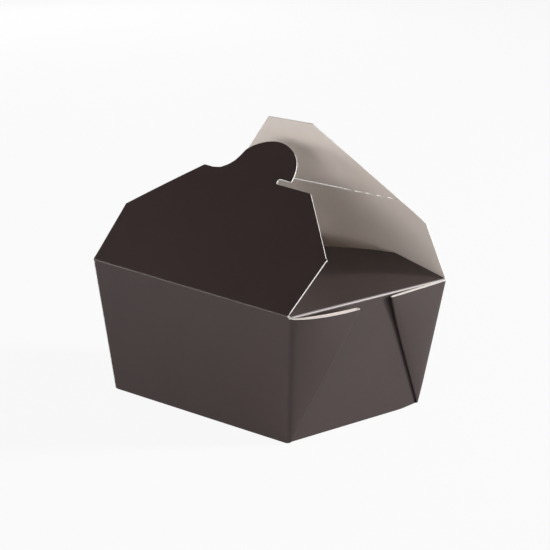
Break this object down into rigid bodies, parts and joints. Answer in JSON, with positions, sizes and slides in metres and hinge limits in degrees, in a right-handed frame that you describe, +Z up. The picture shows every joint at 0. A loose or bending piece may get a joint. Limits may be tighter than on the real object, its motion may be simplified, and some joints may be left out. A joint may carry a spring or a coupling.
{
  "type": "takeaway box",
  "caption": "Folded paperboard takeaway food box with a flared tray, web corners, end flaps and top flaps that lock by a round tab in a slit.",
  "frame": {"origin": "centre of the base's underside", "axes": "+X along the long side, to the right when facing the front wall; +Y from the front wall to the back wall; +Z up out of the tray"},
  "size_m": [0.1418, 0.106, 0.1323],
  "materials": {
    "tray_board": "coated board, near-black brown outside, pale cream inside",
    "front_flap_board": "coated board, near-black brown outside, pale cream inside",
    "back_flap_board": "coated board, near-black brown outside, pale cream inside"
  },
  "bodies": {
    "tray": {"tray": "tray_board"},
    "front_flap": {"front_flap": "front_flap_board"},
    "back_flap": {"back_flap": "back_flap_board"}
  },
  "joints": [
    {"name": "front_crease", "type": "hinge", "parent": "tray", "child": "front_flap", "pos_m": [0, -0.05267, 0.0624], "axis": [1, 0, 0], "range_deg": [-36.5, 182]},
    {"name": "back_crease", "type": "hinge", "parent": "tray", "child": "back_flap", "pos_m": [0, 0.05267, 0.0624], "axis": [-1, 0, 0], "range_deg": [-3, 168]}
  ]
}
